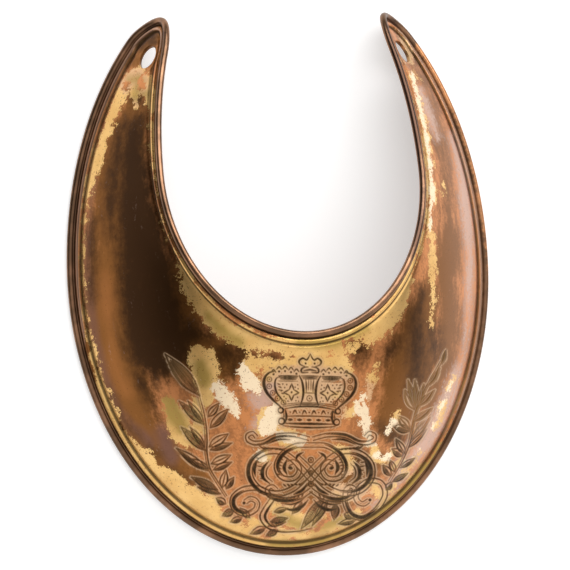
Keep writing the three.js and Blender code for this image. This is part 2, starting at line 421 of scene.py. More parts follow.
def engraveCrown(sheet):
    def cut(points, side, thin, thick=None):
        sheet.line(turned(points, emblem["crownBase"], emblem["crownLean"], side), thin, thick)

    def pearl(x, y, radius, side):
        cut(ring((x, y), radius), side, 0.55)
        cut([(x, y)], side, radius * 0.36)

    for side in (-1, 1):
        # the arch, with its row of pearls and the caps over them
        cut([(28, 19), (36, 26), (43, 34), (46, 42), (45, 49), (41, 53.5), (36, 55)], side, 0.8, 1.7)
        cut([(24, 22), (28, 27.5), (33, 34), (35, 41), (34, 47.5), (30, 50)], side, 0.6, 1.1)
        for x, y in [(40.5, 47), (40.5, 40), (37, 33.5), (32, 28), (26, 24)]:
            pearl(x, y, 2.4, side)
        for x, y in [(36.5, 52), (31, 55), (25, 55.5), (19, 54.5), (13.5, 53)]:
            cut([(x, y)], side, 1.2)
            cut([(x - 2.4, y + 2.2), (x, y + 4.6), (x + 2.4, y + 2.2)], side, 0.6, 0.9)
        for row in range(3):
            cut([(12 + row, 50.6 - 1.5 * row), (31 - row, 50.6 - 1.5 * row)], side, 0.7, 1.1)
        cut([(12, 45.5), (31, 45.5)], side, 0.4, 0.6)
        # the star in the arch, on a stippled ground
        star = [(18, 43), (15.8, 37), (10.5, 34), (15.8, 31.5), (18, 26), (20.5, 31.5), (26, 34), (20.5, 37),
                (18, 43)]
        for a, b in zip(star, star[1:]):
            cut([a, b], side, 0.6, 0.9)
        for x, y in [(12, 42), (14.5, 39.5), (11.5, 38), (23, 42), (27, 42.5), (25, 39), (29.5, 39.5),
                     (28.5, 35.5), (12, 29.5), (13.5, 26), (10.8, 25.5), (23.5, 28), (25.5, 30), (21.5, 25.5),
                     (30.5, 36.5)]:
            cut([(x, y)], side, 0.85)
        for i in range(4):
            cut([(32.5 - 1.4 * i, 43 - 3.2 * i), (29.5 - 1.4 * i, 41.8 - 3 * i)], side, 0.45, 0.8)
        cut([(18, 34.4)], side, 1.1)
        # the fluted middle
        cut([(10.5, 51), (8, 46), (6.6, 40), (6.2, 34), (7, 28), (9, 22)], side, 0.8, 1.4)
        cut([(4, 47.5), (3.4, 41), (3.4, 35)], side, 0.5, 0.9)
        cut([(1.2, 47), (1.2, 41), (1.2, 37)], side, 0.4, 0.6)
        # the mount at the top
        cut([(2, 54.5), (8, 54.5), (8.5, 57.5), (6, 59.5), (2, 60)], side, 0.7, 1.1)
        cut([(5.5, 60.5), (10, 62.5), (11, 66), (7.5, 68.5), (4, 67), (2, 69), (0, 73)], side, 0.6, 1.2)
        cut([(4.5, 63.5)], side, 1.2)
        # ends of the band
        cut(ring((27.5, 5.3), 3.0), side, 0.6, 1.2)
        cut(ring((28.6, 16.2), 2.6), side, 0.6, 1.2)
        cut([(23.8, 16.5), (22.8, 10), (23.8, 3.5)], side, 0.6, 1.3)
        cut([(25.6, 13.5), (25.2, 10), (25.8, 8)], side, 0.4, 0.7)
    for row in range(3):
        cut([(row - 8.5, 51 - 1.4 * row), (8.5 - row, 51 - 1.4 * row)], 1, 0.6, 0.9)
    cut([(-6, 34), (6, 34)], 1, 0.4, 0.7)
    cut([(-6, 56.2), (0, 57.2), (6, 56.2)], 1, 0.7, 1.2)
    pearl(0, 28.6, 2.7, 1)
    for height, bow, thick in [(17.5, 3.2, 1.3), (20.0, 2.8, 0.8), (22.2, 2.0, 0.6), (10.2, 0.7, 0.8),
                               (3.2, 0.0, 1.4), (0.8, -1.4, 1.0)]:
        cut([(-26, height), (-13, height + 0.75 * bow), (0, height + bow),
             (13, height + 0.75 * bow), (26, height)], 1, 0.5, thick)
    for i in range(-2, 3):
        cut([(9.5 * i - 2, 7), (9.5 * i + 2, 7)], 1, 0.7, 1.4)
        cut([(9.5 * i + 2.6, 13), (9.5 * i + 4.6, 16.2), (9.5 * i + 6.8, 13.4)], 1, 0.5, 1.0)
        cut([(9.5 * i, 14.6)], 1, 0.8)


# A band between two thin lines, shaded with a swelling cut along part of it
def ribbon(sheet, points, width=4.6, shadeFrom=0.0, shadeTo=1.0, shade=1.7):
    left, right = offsetPath(points, width / 2), offsetPath(points, -width / 2)
    sheet.line(left[::3], emblem["thin"], 0.8)
    sheet.line(right[::3], emblem["thin"], 0.8)
    inner = offsetPath(points, width / 2 - shade * 0.8)
    first, last = int(shadeFrom * len(inner)), int(shadeTo * len(inner))
    if last - first > 4:
        sheet.line(inner[first:last:3], 0.3, shade)


def engraveKnot(sheet):
    for side in (-1, 1):
        def place(points):
            reach = emblem["knotReach"]
            points = [(x * reach[0], y * reach[1]) for x, y in points]
            return turned(points, emblem["knotCentre"], 0.0, side)

        def cut(points, thin, thick):
            sheet.line(place(points), thin, thick)

        # the broad band, looping from the crossing out to the side and back
        ribbon(sheet, place([(-14, 16), (-4, 6), (6, -6), (18, -18), (34, -24), (52, -20), (63, -6), (62, 10),
                             (50, 21), (34, 23), (20, 15), (10, 4), (0, -8), (-12, -18)]),
               5.4, 0.28, 0.68, 2.0)
        # an inner band that crosses it and ends in a volute
        ribbon(sheet, place([(0, 30), (16, 29), (30, 20), (36, 6), (30, -6), (18, -7), (12, 2), (17, 11),
                             (25, 9)]),
               4.4, 0.15, 0.6, 1.9)
        cut([(44, 12), (50, 4), (50, -6), (43, -13)], 0.5, 2.0)
        cut([(41, 10), (46, 3), (46, -5), (40, -11)], 0.35, 0.8)
        cut([(20, 4), (23, 5)], 1.0, 1.8)
        # sweeps over and under it
        ribbon(sheet, place([(2, 37), (18, 41), (36, 40), (50, 33), (62, 33), (67, 39), (61, 43), (57, 39)]),
               3.6, 0.2, 0.7, 1.3)
        ribbon(sheet, place([(0, -20), (10, -27), (24, -31), (38, -29), (46, -22), (42, -16), (36, -20)]),
               4.0, 0.2, 0.8, 1.7)
        cut([(4, -13), (9, -20), (18, -25)], 0.5, 1.6)
        cut([(8, 22), (14, 18), (16, 12)], 0.4, 1.4)
        cut([(25, -3), (28, 5), (25, 14)], 0.5, 1.9)
        cut([(56, 13), (59, 4), (58, -5)], 0.5, 1.8)
        cut([(22, 36), (34, 36), (46, 31)], 0.45, 1.3)
        cut([(3, -31), (9, -38), (18, -42), (28, -41)], 0.5, 2.0)
        cut([(5, -27), (12, -33), (21, -36), (31, -35)], 0.4, 1.0)
        for i in range(6):
            cut([(58 - i, 16 - 4.6 * i), (53 - i, 15 - 4.6 * i)], 0.4, 0.7)
            cut([(33 + 0.6 * i, 15 - 3.4 * i), (29 + 0.6 * i, 13.5 - 3.4 * i)], 0.4, 0.7)
            cut([(8 + 4 * i, -24.5 - 0.9 * i), (10 + 4 * i, -28 - 0.6 * i)], 0.4, 0.8)
        for i in range(5):
            x = 54 - 4.5 * i
            cut([(x, 29 - 0.6 * i), (x - 4, 26.5 - 0.4 * i), (x - 9, 26.5)], 0.35, 0.9)
            cut([(29 - 4 * i, -13.5), (26 - 4 * i, -16 + 0.5 * i)], 0.4, 0.9)
    centre = emblem["knotCentre"]
    for height, radius in ((12, 2.6), (-1, 2.2), (-12, 2.6)):
        sheet.line(ring((centre[0], centre[1] + height), radius), 0.45, 0.8)
        sheet.line([(centre[0], centre[1] + height)], 1.0)


# A leaf from foot to tip: open, hatched all over, or dark on its lower half
def leaf(sheet, foot, tip, width, shade="open"):
    foot, tip = np.array(foot, float), np.array(tip, float)
    along = tip - foot
    length = np.linalg.norm(along)
    across = np.array([-along[1], along[0]]) / length
    lower = 1 if across[1] < 0 else -1
    for side in (-1, 1):
        edge = [foot, foot + 0.3 * along + side * across * width * 0.42,
                foot + 0.62 * along + side * across * width * 0.4, tip]
        sheet.line(edge, 0.5, 1.0 if side == lower else 0.75)
    if shade == "dark":
        for i in range(3):
            inset = lower * width * (0.13 * i - 0.02)
            sheet.line([foot + 0.08 * along, foot + 0.35 * along + across * inset,
                        foot + 0.62 * along + across * inset, foot + 0.88 * along], 0.4, 0.7)
    else:
        sheet.line([foot, foot + 0.85 * along], 0.45, 0.7)
    if shade == "hatched":
        count = int(length / 2.2)
        for i in range(count):
            share = 0.1 + 0.72 * i / count
            start = foot + along * share
            reach = width * 0.36 * math.sin(math.pi * (share + 0.12)) ** 0.7
            for side in (-1, 1):
                sheet.line([start, start + along / length * 2.4 + across * side * reach], 0.4, 0.65)


def volute(sheet, points, width, shadeFrom, shadeTo, shade):
    ribbon(sheet, points, width, shadeFrom, shadeTo, shade)
    sheet.line([points[-1]], 1.6)


def engraveEmblem():
    sheet = Drawing(emblem["low"], emblem["high"], emblem["cellsPerStep"], emblem["reach"])
    engraveCrown(sheet)
    engraveKnot(sheet)
    for spray in ("left", "right"):
        stem = emblem[spray + "Stem"]
        sheet.line(stem, 0.45, 0.8)
        sheet.line(offsetPath(stem, 2.0)[::4], 0.4, 0.5)
        for row in emblem[spray + "Leaves"]:
            leaf(sheet, *row)
    for row in emblem["foliage"]:
        leaf(sheet, *row)
    # volutes on both sides under the knot, and the long sweep that joins them
    volute(sheet, [(-30, -166), (-36, -160), (-46, -158), (-58, -160), (-67, -168), (-66, -178), (-56, -184),
                   (-45, -180), (-43, -172), (-50, -169), (-56, -173)], 4.6, 0.3, 0.75, 2.0)
    volute(sheet, [(46, -160), (45, -172), (51, -184), (63, -188), (76, -180), (85, -165), (81, -153),
                   (69, -151), (59, -158), (56, -168), (62, -174), (70, -170)], 4.6, 0.05, 0.45, 2.1)
    sheet.line([(-28, -166), (-37, -179), (-40, -187), (-36, -195), (-28, -200), (-16, -202), (0, -201),
                (12, -198)], 0.5, 1.0)
    sheet.line([(-24, -168), (-32, -179), (-35, -187), (-31, -194), (-24, -198)], 0.45, 1.5)
    return sheet


engraving = engraveEmblem()
print("gorget: engraving drawn")

# Wear and painted light: where the gilding is left, where it is rubbed through again, where the copper is
# darkest, and where highlights, reflections and shade are painted into the colour. Each patch is a run of
# places with a radius.
wear = {
    "low": (-250, -260),
    "high": (220, 330),
    # how far each drawing is worked out beyond its patches, and how soft their edges are
    "drawn": {
        "gilding": (14, 7), "bare": (14, 7), "cream": (14, 6), "haze": (14, 13), "rose": (14, 12),
        "olive": (14, 12), "patina": (30, 34), "tarnish": (30, 24), "bloom": (14, 14), "glow": (24, 24),
        "crest": (8, 8), "rubbedRoll": (12, 12), "darkRoll": (12, 12),
    },
    # millimetres
    "grimeAndShadeReach": 0.8,
    "cutSoft": 0.27,
    "cutSpread": 0.08,
    # where the painted highlight along each cut's burr lies, outside the cut's edge, and how soft it is
    "burrPlace": 0.17,
    "burrSoft": 0.09,
    "brightCuts": [(127, -62, 54), (-120, -42, 20)],  # where cuts are light, on the dark flanks
    "brightCutSoft": 30,
    "gilding": [
        [(-117, 68, 4), (-110, 45, 8), (-97, 25, 10), (-78, 5, 10), (-55, -8, 9), (-25, -15, 10),
         (10, -16, 12), (45, -11, 13), (72, 0, 13), (92, 20, 10), (104, 45, 7), (113, 75, 5), (122, 100, 3)],
        [(112, 257, 3), (118, 230, 3), (124, 200, 3), (129, 168, 3), (132, 135, 3.5), (129, 112, 3),
         (129, 92, 2)],
        [(-104, -22, 7), (-97, -32, 13), (-94, -48, 12), (-93, -62, 7), (-94, -72, 5)],
        [(-80, -59, 6), (-73, -69, 7), (-65, -80, 4)],
        [(-105, -72, 5), (-102, -88, 6), (-102, -104, 6), (-108, -116, 4)],
        [(-40, -30, 8), (-56, -43, 7), (-50, -54, 7), (-42, -60, 5)],
        [(-25, -40, 12), (-5, -42, 16), (20, -42, 16), (42, -38, 10)],
        [(-10, -65, 14), (15, -65, 15), (33, -62, 10)],
        [(-38, -100, 6), (-30, -90, 12), (-23, -80, 8)],
        [(-15, -107, 9), (-3, -113, 9)],
        [(-38, -126, 7)],
        [(-160, -184, 3), (-150, -176, 3)],
        [(-132, -72, 6), (-125, -85, 11), (-120, -100, 12), (-112, -113, 6)],
        [(-196, -86, 7), (-188, -98, 9), (-172, -120, 12), (-150, -145, 15), (-125, -165, 18),
         (-95, -183, 18), (-65, -198, 16), (-35, -205, 13), (0, -210, 9), (35, -206, 8), (60, -197, 7),
         (80, -184, 6), (98, -168, 5), (122, -141, 4), (143, -115, 3), (152, -100, 2)],
        [(-184, -88, 7), (-196, -64, 6), (-203, -42, 5), (-208, -20, 3), (-214, 5, 2), (-217, 40, 2),
         (-218, 80, 2),
         (-216, 112, 3), (-212, 140, 4), (-205, 162, 5), (-198, 186, 5), (-191, 206, 5), (-183, 226, 6),
         (-172, 244, 9), (-160, 256, 8)],
        [(-156, 250, 9), (-152, 236, 8), (-150, 222, 4)],
        [(-172, 238, 7), (-164, 232, 8), (-162, 222, 3)],
        [(-149, 220, 2), (-148.5, 200, 1.5), (-145.5, 160, 1), (-141, 130, 0.5), (-132, 92, 0),
         (-120, 68, 0)],
        [(-28, -176, 5), (-15, -184, 8), (4, -192, 8), (22, -184, 5)],
        [(30, -196, 6), (44, -192, 7), (58, -184, 5)],
        [(38, -160, 5), (52, -166, 6), (66, -158, 4)],
        [(38, -116, 4), (48, -126, 5), (47, -140, 4)],
        [(155, -46, 1.8), (149, -60, 2.2)],
        [(144, -72, 2), (140, -86, 3), (134, -98, 2)],
        [(120, -122, 2), (107, -140, 2.8), (95, -153, 2.4), (82, -168, 2.4)],
        [(101, -127, 1.5), (92, -140, 1.5)],
        [(76, -128, 6), (70, -112, 6), (66, -96, 5), (64, -80, 6), (68, -62, 5), (72, -46, 4), (76, -36, 4)],
        [(46, -84, 5), (56, -76, 5)],
        [(97, -85, 2), (92, -94, 3), (87, -104, 2)],
        [(84, -130, 3), (92, -122, 3)],
        [(76, -160, 6), (84, -170, 4)],
        [(132, 0, 1.5), (133, 70, 2), (130, 130, 2), (127, 180, 2), (122, 210, 1.5)],
        [(143, 145, 2), (143, 136, 1.5)],
        [(128, 150, 1.5), (131, 120, 2), (131, 90, 1.5)],
        [(104, 302, 5), (107, 285, 5), (108, 270, 5)],
    ],
    # pale cream gilding, partly real and partly painted highlight: the bright patches round the crown and the
    # streaks down the right flank
    "cream": [
        [(-82, -58, 7), (-73, -69, 9), (-64, -81, 7)],
        [(-62, -36, 6), (-55, -48, 9), (-44, -60, 6)],
        [(-26, -78, 5), (-30, -92, 9), (-36, -102, 4), (-10, -108, 5), (5, -112, 6), (15, -112, 4)],
        [(-52, -112, 5), (-46, -122, 6), (-38, -128, 5)],
        [(60, -60, 5), (62, -80, 7), (66, -98, 7), (70, -112, 5), (92, -94, 6)],
        [(76, -126, 3), (88, -126, 4)],
        [(112, 257, 1.5), (118, 230, 2), (125, 200, 1.5), (130, 168, 1.5), (132, 135, 2.5), (130, 100, 1)],
        [(153, -50, 1), (142, -76, 1), (132, -98, 1), (112, -126, 1), (92, -146, 1)],
    ],
    # a pale lavender tone on the copper: partly its own tone, and partly a painted reflection, the long sheen
    # down the right flank
    "haze": [
        [(-48, -68, 6), (-38, -76, 8), (-34, -62, 8), (-24, -52, 5)],
        [(-46, -96, 5), (-40, -88, 6)],
        [(152, 196, 4), (161, 165, 6), (166, 130, 7), (169, 90, 5), (169, 45, 4), (167, 5, 2), (162, -28, 2),
         (154, -48, 6), (146, -72, 8), (137, -92, 9), (123, -116, 8), (106, -138, 6), (90, -158, 5),
         (74, -176, 4)],
        [(120, 240, 4), (126, 222, 5), (133, 205, 4), (139, 190, 2)],
        [(128, -88, 2), (118, -104, 2), (104, -122, 2), (96, -134, 1.5)],
        [(-186, -125, 6), (-176, -140, 6), (-160, -156, 5)],
    ],
    "bare": [
        [(-173, 246, 2), (-174, 240, 3.5)],
        [(-159, 249, 2), (-159, 243, 3.5)],
        [(-171, 231, 4), (-169, 222, 3)],
        [(-159, 230, 4.5), (-157, 220, 4)],
        [(-47, -24, 3), (-32, -27, 4), (-17, -27, 3)],
        [(45, -13, 2.5), (50, -11, 2)],
        [(53, -17, 3), (59, -14, 3)],
        [(58, -24, 5), (63, -20, 5)],
        [(54, -31, 3), (50, -32, 2)],
        [(46, -46, 1.5), (52, -52, 2)],
        [(30, -24, 1), (33, -22, 1.5)],
        [(-78, -172, 4), (-72, -178, 4), (-63, -186, 4), (-54, -192, 3)],
        [(-45, -202, 3), (-35, -201, 5), (-25, -200, 4)],
        [(-7, -208, 1.2), (-5, -209, 1.2)],
    ],
    # the deep brown of the flanks and hollows: partly real patina, and partly a painted dark reflection, the
    # big patch on the left flank standing for the dark surroundings it mirrors
    "patina": [
        [(-160, 214, 8), (-167, 190, 16), (-163, 130, 25), (-155, 70, 31), (-147, 10, 36), (-138, -20, 34),
         (-115, -5, 18), (-95, -5, 12)],
        [(-75, -25, 16), (-55, -22, 12), (-68, -40, 10), (-58, -42, 8)],
        [(-160, -46, 10), (-152, -66, 6), (-142, -86, 3)],
        [(-194, -56, 2), (-182, -82, 2), (-160, -110, 2), (-134, -134, 2), (-110, -150, 2)],
        [(58, -118, 8), (56, -136, 6)],
        [(-208, 110, 5), (-209, 70, 6), (-207, 30, 5)],
        [(106, 304, 1), (112, 285, 2), (116, 268, 0)],
        [(122, 40, 4), (116, 10, 9), (117, -20, 11), (116, -48, 9), (112, -62, 6)],
        [(132, 0, 8), (134, -24, 6)],
        [(98, -14, 8), (88, -24, 8), (82, -36, 5)],
        [(82, -100, 6), (98, -108, 8)],
        [(-172, 212, 6), (-181, 190, 9), (-185, 160, 11), (-188, 125, 10), (-190, 90, 5)],
        [(-160, 286, 6), (-148, 292, 8)],
        [(-170, 236, 6), (-160, 230, 8)],
        [(-50, -22, 8), (-32, -27, 9), (-15, -27, 8)],
        [(50, -16, 8), (62, -20, 12), (56, -30, 8)],
    ],
    # the red-brown tone round it: partly real tarnish, and partly a painted dark reflection on the left flank
    "tarnish": [
        [(-165, 230, 12), (-175, 190, 22), (-185, 130, 26), (-190, 70, 28), (-188, 10, 30), (-180, -50, 30),
         (-165, -95, 25), (-135, -125, 20), (-100, -150, 14)],
        [(-140, 30, 40), (-120, -20, 30), (-80, -30, 22)],
        [(90, -100, 16), (104, -60, 26), (118, -10, 24), (132, 40, 12)],
        [(146, 60, 10), (148, 20, 14), (144, -30, 14), (132, -66, 12), (118, -96, 8)],
        [(112, 290, 10), (124, 250, 6), (140, 200, 6), (146, 150, 6), (149, 100, 10), (148, 60, 14)],
        [(-160, 270, 14), (-146, 296, 14)],
        [(50, -150, 16), (78, -130, 14)],
        [(-20, -165, 8), (11, -150, 16), (40, -175, 14)],
    ],
    # thin gilding, with the copper's rose showing through
    "rose": [
        [(-14, -85, 14), (10, -78, 16), (34, -82, 14)],
        [(-18, -52, 12), (8, -48, 14), (38, -52, 12)],
        [(0, -150, 10), (40, -150, 14), (60, -165, 12)],
        [(66, -60, 10), (70, -100, 10)],
        [(104, 302, 8), (108, 272, 8)],
        [(-174, 246, 8), (-162, 254, 9), (-158, 238, 6)],
        [(-164, 228, 5)],
    ],
    # gilding darkened to olive in places
    "olive": [
        [(-132, -68, 9), (-127, -84, 9), (-118, -97, 6)],
        [(-100, -36, 6), (-95, -50, 7)],
        [(-170, 250, 4), (-160, 250, 5), (-164, 232, 4), (-154, 236, 4)],
        [(-92, 14, 5), (-72, -6, 6), (-60, -12, 6)],
        [(103, 304, 2), (107, 285, 3), (110, 268, 1)],
        [(0, -12, 5), (24, -13, 6), (44, -10, 5), (66, 2, 5)],
        [(-30, -214, 4), (10, -214, 5), (50, -206, 5), (90, -178, 7), (122, -144, 7), (150, -108, 8)],
        [(-24, -186, 5), (8, -196, 5), (40, -190, 6)],
        [(-221, 20, 5), (-223, 60, 5), (-220, 100, 5)],
    ],
    # the roll rubbed to bright copper, partly real wear and partly a painted highlight along the right side
    # and bottom, which face the light
    "rubbedRoll": [
        [(124, 286, 9), (150, 245, 11), (172, 200, 12), (186, 150, 12), (194, 100, 11), (197, 50, 8),
         (196, 10, 6)],
        [(-70, -236, 6), (-40, -241, 8), (0, -243, 9), (36, -241, 7), (60, -236, 4)],
    ],
    # the roll painted dark: painted shade where it would mirror the lights
    "darkRoll": [
        [(92, 306, 6), (98, 275, 8), (104, 245, 9), (110, 210, 9), (115, 165, 8), (118, 115, 6),
         (116, 60, 4)],
        [(190, 20, 3), (191, -20, 6), (184, -60, 8), (168, -105, 8), (146, -140, 8), (118, -175, 6)],
        [(-150, 300, 5), (-140, 296, 6)],
    ],
    # a violet band on the copper beside the gilding's edge, and further in warm copper that is partly a
    # painted reflection of the floor on the steep left flank
    "bloom": [
        [(-206, 150, 2), (-211, 110, 3), (-213, 70, 4), (-210, 30, 4), (-204, -10, 4), (-193, -50, 4),
         (-178, -84, 4), (-150, -112, 6)],
        [(-138, -100, 8), (-128, -128, 8)],
    ],
    "glow": [
        [(-195, 56, 2), (-194, 44, 6), (-192, 22, 7), (-190, -2, 3), (-184, -40, 6), (-174, -62, 6)],
    ],
    # the moulding's crest rubbed to rose copper
    "crest": [
        [(-150, 290, 14), (-176, 258, 14), (-198, 210, 14), (-213, 160, 14), (-226, 90, 14), (-231, 20, 14),
         (-226, -50, 14)],
        [(110, 310, 14), (140, 250, 14), (166, 170, 14), (180, 80, 14), (184, 0, 14), (176, -60, 14),
         (162, -94, 8)],
    ],
}


def drawWear(name, reach):
    sheet = Drawing(wear["low"], wear["high"], 1, reach)
    for points in wear[name]:
        sheet.patch(points)
    return sheet


wearSheets = {name: drawWear(name, reach) for name, (reach, soft) in wear["drawn"].items()}
print("gorget: wear drawn")

# The plate's mesh
relief = {
    "refineReach": [1.2, 0.62, 0.32],  # millimetres beside a cut, for each halving of the faces
    "cutDepth": 0.16,
    "cutSlope": 0.75,  # depth for each millimetre in from a cut's edge
    "burrHeight": 0.02,
    "burrPlace": 0.14,  # outside a cut's edge
    "burrSoft": 0.1,
    "beatenHeight": 0.05,
    "beatenSize": 13.0,
    "beatenFrom": 6.0,  # fades in over this, from the border
}


def gridIndex(share, count):
    return int(round((share + 0.5) * count))


def makePlate():
    rows = sectionRows()
    rowCount, stationCount = len(rows) - 1, len(rows[0]["t"]) - 1
    bm = bmesh.new()
    bmesh.ops.create_grid(bm, x_segments=stationCount, y_segments=rowCount, size=0.5)
    layers = {name: bm.verts.layers.float.new(name) for name in ("t", "v", "rimward", "field", "back")}
    for vert in bm.verts:
        i, j = gridIndex(vert.co.x, stationCount), gridIndex(vert.co.y, rowCount)
        row = rows[j]
        vert.co = row["place"][i]
        for name, layer in layers.items():
            vert[layer] = row[name][i]
    bmesh.ops.remove_doubles(bm, verts=bm.verts, dist=section["weldReach"])
    print("gorget: section swept", len(bm.faces))

    for reach in relief["refineReach"]:
        t = np.array([vert[layers["t"]] for vert in bm.verts])
        v = np.array([vert[layers["v"]] for vert in bm.verts])
        isField = np.array([vert[layers["field"]] for vert in bm.verts]) > 0.5
        depth = engraving.at(*onPlan(shifted(dome(t, v)))) * plan["step"]
        near = (depth > -reach) & isField
        bm.verts.index_update()
        chosen = set()
        for face in bm.faces:
            corners = [vert.index for vert in face.verts]
            if all(isField[i] for i in corners) and any(near[i] for i in corners):
                chosen.update(face.edges)
        bmesh.ops.subdivide_edges(bm, edges=list(chosen), cuts=1, use_grid_fill=True)
        print("gorget: refined", len(bm.faces))

    shapeField(bm, layers)
    bmesh.ops.recalc_face_normals(bm, faces=bm.faces)
    for face in bm.faces:
        face.smooth = True
    mesh = bpy.data.meshes.new("gorgetPlate")
    bm.to_mesh(mesh)
    bm.free()
    return mesh


def shifted(points):
    return points + plateShift


# Puts the field's vertices on the dome again, beaten slightly uneven, with the cuts and the
# burrs along them
def shapeField(bm, layers):
    verts = [vert for vert in bm.verts if vert[layers["field"]] > 0.5]
    t = np.array([vert[layers["t"]] for vert in verts])
    v = np.array([vert[layers["v"]] for vert in verts])
    rimward = np.array([vert[layers["rimward"]] for vert in verts])
    flat = dome(t, v)
    inside = engraving.at(*onPlan(shifted(flat))) * plan["step"]
    depth = np.minimum(np.clip(inside, 0, None) * relief["cutSlope"], relief["cutDepth"])
    burrAndHighlight = relief["burrHeight"] * np.exp(-((inside + relief["burrPlace"]) / relief["burrSoft"]) ** 2)
    size = blendShare(plate["throatMouldingShare"], 1.0, v)
    fromBorder = easeIn((rimward - section["mouldingRows"][0]) / relief["beatenFrom"])
    base = blendShare(plate["fieldHeight"] * size, plate["fieldHeight"], fromBorder)
    beaten = np.array([noise.noise(Vector(p / relief["beatenSize"])) for p in flat])
    place = raised(t, v, base - depth + burrAndHighlight + beaten * relief["beatenHeight"] * fromBorder)
    for vert, co in zip(verts, place):
        vert.co = co


def cutHole(piece, side):
    t, v = side * plate["holeStation"], plate["holeAcross"]
    normal = domeNormal(t, v)
    along = unit(dome(t + probe, v) - dome(t - probe, v))
    across = np.cross(normal, along)
    bm = bmesh.new()
    bmesh.ops.create_cone(bm, cap_ends=True, segments=56, radius1=1, radius2=1, depth=plate["punchLength"])
    bmesh.ops.scale(bm, vec=(plate["holeLength"] / 2, plate["holeWidth"] / 2, 1), verts=bm.verts)
    place = Matrix([along, across, normal]).transposed().to_4x4()
    place.translation = Vector(shifted(dome(t, v)))
    bmesh.ops.transform(bm, matrix=Matrix.Scale(mm, 4) @ place, verts=bm.verts)
    mesh = bpy.data.meshes.new("holePunch")
    bm.to_mesh(mesh)
    bm.free()
    punch = bpy.data.objects.new("holePunch", mesh)
    bpy.context.scene.collection.objects.link(punch)
    cut = piece.modifiers.new("ribbonHole", "BOOLEAN")
    cut.object = punch
    cut.solver = "EXACT"
    cut.operation = "DIFFERENCE"
    evaluated = piece.evaluated_get(bpy.context.evaluated_depsgraph_get())
    pierced = bpy.data.meshes.new_from_object(evaluated)
    piece.modifiers.clear()
    piece.data = pierced
    bpy.data.objects.remove(punch)


# The CAD box says where the plate's middle lies
plateShift = np.zeros(3)
outline = outerEdge(np.linspace(-1, 1, 801))
plateShift[1] = cadLow.y / mm + plate["rollRadius"] - outline[:, 1].min()
plateMesh = makePlate()
plateMesh.transform(Matrix.Scale(mm, 4) @ Matrix.Translation(Vector(plateShift)))
plateObject = bpy.data.objects.new("gorgetPlate", plateMesh)
bpy.context.scene.collection.objects.link(plateObject)

tree = kdtree.KDTree(len(plateMesh.vertices))
for vertex in plateMesh.vertices:
    tree.insert(vertex.co, vertex.index)
tree.balance()
carried = {}
for name in ("rimward", "back"):
    values = np.zeros(len(plateMesh.vertices), np.float32)
    plateMesh.attributes[name].data.foreach_get("value", values)
    carried[name] = values
for side in (-1, 1):
    cutHole(plateObject, side)
plateMesh = plateObject.data
print("gorget: holes cut, triangles", sum(len(face.vertices) - 2 for face in plateMesh.polygons))


def setAttribute(mesh, name, values):
    old = mesh.attributes.get(name)
    if old:
        mesh.attributes.remove(old)
    layer = mesh.attributes.new(name, "FLOAT", "POINT")
    layer.data.foreach_set("value", np.asarray(values, np.float32))


def markWear(mesh):
    places = np.zeros(len(mesh.vertices) * 3)
    mesh.vertices.foreach_get("co", places)
    places = places.reshape(-1, 3)
    nearest = np.array([tree.find(p)[1] for p in places])
    x, y = onPlan(places / mm)
    for name in ("rimward", "back"):
        setAttribute(mesh, name, carried[name][nearest])
    shares = {name: wearSheets[name].at(x, y) / soft for name, (reach, soft) in wear["drawn"].items()}
    gilding = np.minimum(shares.pop("gilding"), -shares.pop("bare"))
    setAttribute(mesh, "gilding", np.clip(gilding, -1.5, 1.5))
    for name, share in shares.items():
        setAttribute(mesh, name, np.clip(share + 0.5, 0, 1))
    inside = engraving.at(x, y) * plan["step"]
    front = 1 - carried["back"][nearest]
    # a painted highlight along the burr outside each cut's edge
    burrAndHighlight = np.exp(-((inside + wear["burrPlace"]) / wear["burrSoft"]) ** 2)
    setAttribute(mesh, "burrAndHighlight", burrAndHighlight * front)
    bright = np.zeros_like(x)
    for placeX, placeY, radius in wear["brightCuts"]:
        share = (radius - np.hypot(x - placeX, y - placeY)) / wear["brightCutSoft"]
        bright = np.maximum(bright, easeIn(share))
    setAttribute(mesh, "brightCut", bright)
    cut = easeIn((inside + wear["cutSpread"] * (1 - bright)) / wear["cutSoft"])
    setAttribute(mesh, "cut", cut * (1 - 0.25 * bright) * front)
    # brown dirt round the cuts, partly a painted warm shade beside them
    setAttribute(mesh, "grimeAndShade", easeIn(1 + inside / wear["grimeAndShadeReach"]) * front)
    for name in ("t", "v", "field"):
        mesh.attributes.remove(mesh.attributes[name])


markWear(plateMesh)
print("gorget: wear marked")


# Shader sums
class Value:
    def __init__(self, finish, socket):
        self.finish, self.socket = finish, socket

    def math(self, operation, a, b):
        return self.finish.add("ShaderNodeMath", {"operation": operation}, {0: a, 1: b})

    def __add__(self, other):
        return self.math("ADD", self, other)

    def __radd__(self, other):
        return self.math("ADD", other, self)

    def __sub__(self, other):
        return self.math("SUBTRACT", self, other)

    def __rsub__(self, other):
        return self.math("SUBTRACT", other, self)

    def __mul__(self, other):
        return self.math("MULTIPLY", self, other)

    def __rmul__(self, other):
        return self.math("MULTIPLY", other, self)

    def atLeast(self, other):
        return self.math("MAXIMUM", self, other)

    def atMost(self, other):
        return self.math("MINIMUM", self, other)


